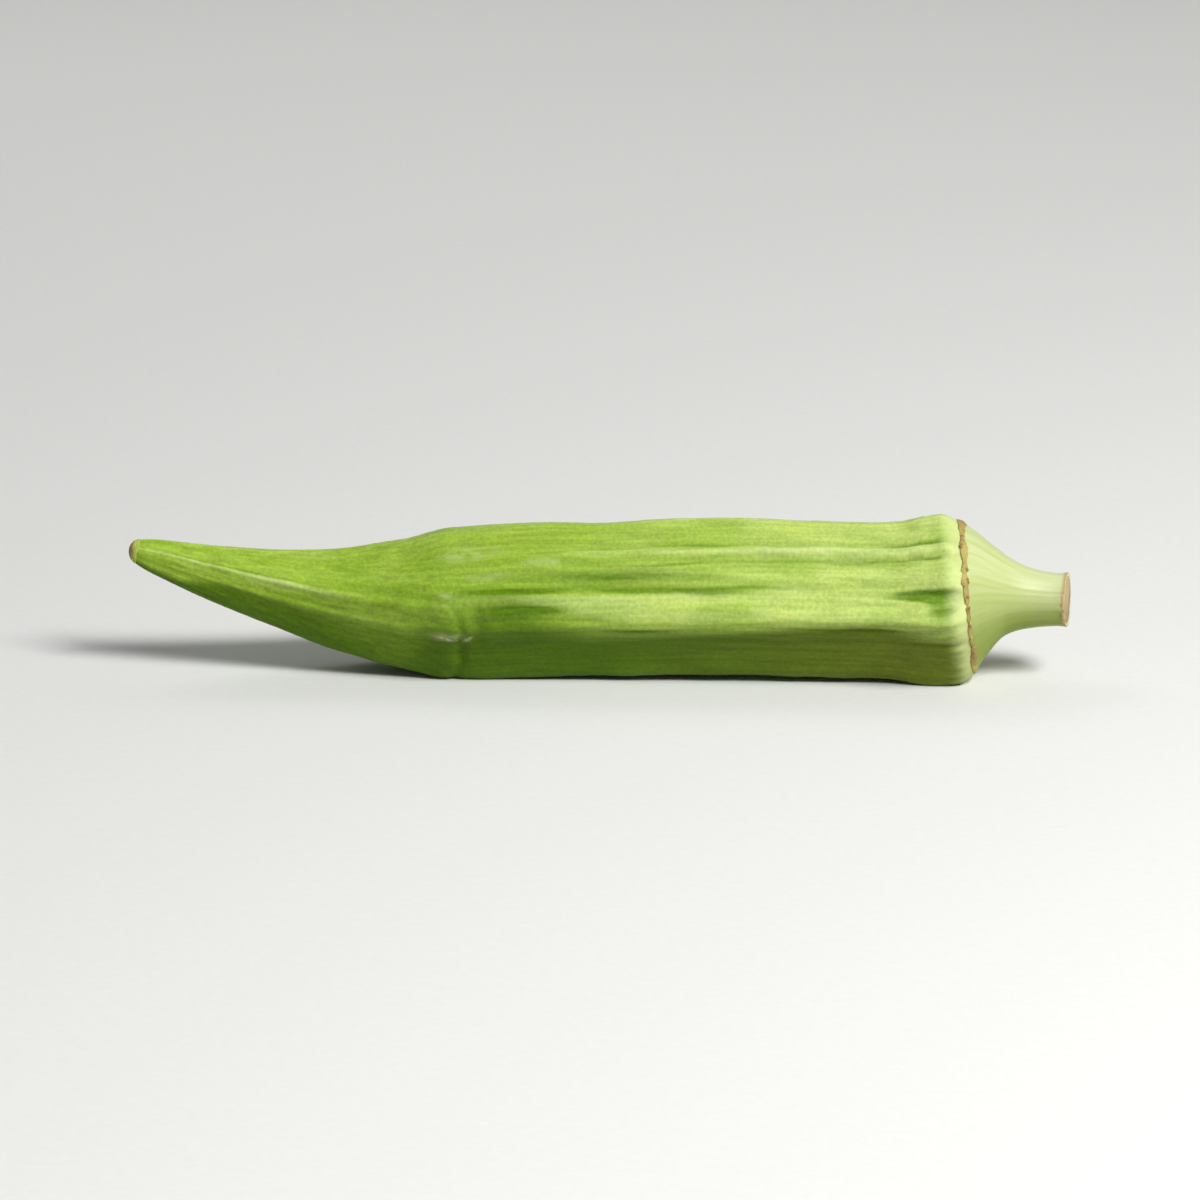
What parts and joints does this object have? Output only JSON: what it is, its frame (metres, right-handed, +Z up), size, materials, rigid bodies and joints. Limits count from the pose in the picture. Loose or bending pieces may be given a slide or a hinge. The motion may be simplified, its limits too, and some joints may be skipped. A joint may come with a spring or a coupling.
{
  "type": "okra pod",
  "caption": "Fresh okra pod lying on its side: ribbed, tapering body with an upturned beak, a thin corky ring, a smooth cap and a short cut stalk.",
  "frame": {"origin": "centre of the pod's box, on the surface that the pod lies on", "axes": "+X runs from the beak's tip to the cut stalk, +Z up out of the surface, and -Y towards the side that the picture shows"},
  "size_m": [0.1208, 0.0224, 0.0208],
  "materials": {
    "okra_skin": "matte"
  },
  "bodies": {
    "root": {"okra_pod": "okra_skin"}
  },
  "joints": []
}
